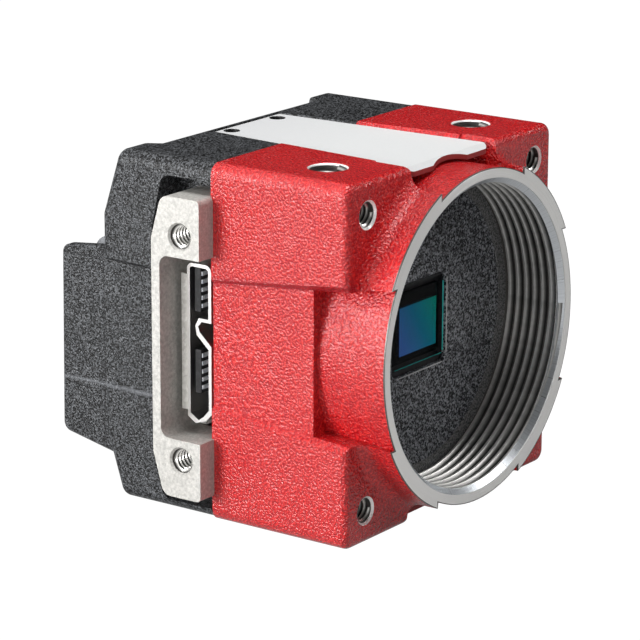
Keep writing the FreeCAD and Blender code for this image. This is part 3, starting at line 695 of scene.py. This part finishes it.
# Painted highlight on the lower and right chamfers of the window.
off_window = maths(holder, "MAXIMUM", maths(holder, "SUBTRACT", x, WINDOW_RIGHT),
                   maths(holder, "SUBTRACT", WINDOW_LOW, z))
on_flare = maths(holder, "MULTIPLY", maths(holder, "GREATER_THAN", off_window, 0.05 * MM),
                 maths(holder, "GREATER_THAN", y, HOLDER_FRONT))
chamfer_highlight = maths(holder, "MULTIPLY", maths(holder, "LESS_THAN", off_window, 0.13 * MM),
             maths(holder, "LESS_THAN", y, GLASS_FRONT + 0.015 * MM))
chamfer_highlight = maths(holder, "MULTIPLY", chamfer_highlight, on_flare)
overlay(holder_coat, ((chamfer_highlight, (0.50, 0.50, 0.50, 1)),))
dress("sensor_holder", holder_coat)


def cover_glass():
    """Clear lid: almost unseen face on, with a teal glint along two edges."""
    mat, tree, shader = new_material("coated_cover_glass")
    place, (x, y, z) = object_place(tree)
    rim = maths(tree, "MAXIMUM", maths(tree, "GREATER_THAN", x, GLASS_HALF[0] - 0.01 * MM),
                maths(tree, "LESS_THAN", z, 0.01 * MM - GLASS_HALF[1]))
    glint = maths(tree, "LESS_THAN", y, GLASS_FRONT + 0.12 * MM)
    glint = maths(tree, "MULTIPLY", rim, glint)
    tone = blend(tree, glint, (0.01, 0.03, 0.035, 1), (0.10, 0.75, 0.70, 1))
    tree.links.new(tone, shader.inputs["Base Color"])
    haze = maths(tree, "MULTIPLY", noise(tree, place, 900.0, 1.0), 0.02)
    cover = maths(tree, "MULTIPLY_ADD", glint, 0.85, haze)
    tree.links.new(cover, shader.inputs["Alpha"])
    shader.inputs["Roughness"].default_value = 0.05
    shader.inputs["Specular IOR Level"].default_value = 0.1
    return mat


def sensor_silicon():
    """Active area with its colour drift, inside a near-black border."""
    mat, tree, shader = new_material("sensor_silicon")
    _, (x, y, z) = object_place(tree)
    off_x = maths(tree, "SUBTRACT", x, ACTIVE_CENTRE[0])
    off_z = maths(tree, "SUBTRACT", z, ACTIVE_CENTRE[1])
    wide = maths(tree, "LESS_THAN", maths(tree, "ABSOLUTE", off_x), ACTIVE_HALF[0])
    tall = maths(tree, "LESS_THAN", maths(tree, "ABSOLUTE", off_z), ACTIVE_HALF[1])
    inside = maths(tree, "MULTIPLY", wide, tall)
    slope = maths(tree, "MULTIPLY_ADD", off_x, 150.0, 0.45)
    slope = maths(tree, "MULTIPLY_ADD", off_z, 90.0, slope, clamp=True)
    drift = tree.nodes.new("ShaderNodeValToRGB")
    blue, green = drift.color_ramp.elements
    blue.color = (0.085, 0.24, 0.76, 1)
    green.color = (0.001, 0.40, 0.29, 1)
    drift.color_ramp.elements.new(0.5).color = (0.012, 0.27, 0.46, 1)
    tree.links.new(slope, drift.inputs["Fac"])
    tone = blend(tree, inside, (0.001, 0.002, 0.003, 1), drift.outputs["Color"])
    tree.links.new(tone, shader.inputs["Base Color"])
    shader.inputs["Roughness"].default_value = 0.12
    shader.inputs["Specular IOR Level"].default_value = 0.05
    return mat


dress("sensor_glass", cover_glass())
dress("sensor_die", sensor_silicon())
dress("sensor_package", sandy_coat("ceramic_package", (0.010, 0.010, 0.012, 1),
                                   (0.02, 0.02, 0.022, 1), 3000.0, 0.01 * MM, 0.5))

# ---- Boards and what they carry -----------------------------------------------------------
# Glass-fibre boards with black moulded chips and connectors. Small steel
# screws and hexagonal brass spacers hold them behind the sensor and the port.

board_resin = sandy_coat("board_resin", (0.62, 0.61, 0.57, 1), (0.80, 0.79, 0.75, 1),
                         2500.0, 0.01 * MM, 0.5)
for name in ("sensor_board", "image_board", "port_board"):
    dress(name, board_resin)
chip_black = sandy_coat("chip_black", (0.015, 0.015, 0.016, 1), (0.03, 0.03, 0.03, 1),
                        3000.0, 0.01 * MM, 0.5)
for name in ("image_processor", "memory_chip", "usb_controller", "front_link_socket",
             "front_link_plug", "rear_link_socket", "rear_link_plug", "io_insert"):
    dress(name, chip_black)
screw_steel = brushed_metal("screw_steel", (0.60, 0.60, 0.61, 1), 0.25, 2.0, 0.01 * MM)
for name in ("stack_screws", "port_board_screws", "case_screws"):
    dress(name, screw_steel)
dress("board_spacers", brushed_metal("spacer_brass", (0.70, 0.52, 0.22, 1), 0.3, 2.0,
                                     0.01 * MM))

# ---- Rear fittings --------------------------------------------------------------------------
# Plated round connector pressed into the rear wall, with gold pins in a black
# insert, and a clear domed light guide beside it.

dress("io_shell", brushed_metal("plated_connector", (0.62, 0.62, 0.63, 1), 0.25, 3.0,
                                0.02 * MM))
dress("io_pins", brushed_metal("pin_plating", (0.80, 0.62, 0.26, 1), 0.2, 2.0, 0.005 * MM))


def light_guide():
    """Half-clear acrylic with a slightly uneven polish."""
    mat, tree, shader = new_material("light_guide")
    place = tree.nodes.new("ShaderNodeTexCoord").outputs["Object"]
    polish = maths(tree, "MULTIPLY_ADD", noise(tree, place, 2000.0, 2.0), 0.1, 0.03)
    tree.links.new(polish, shader.inputs["Roughness"])
    shader.inputs["Base Color"].default_value = (0.30, 0.31, 0.33, 1)
    shader.inputs["Transmission Weight"].default_value = 0.5
    shader.inputs["IOR"].default_value = 1.49
    return mat


dress("status_light", light_guide())
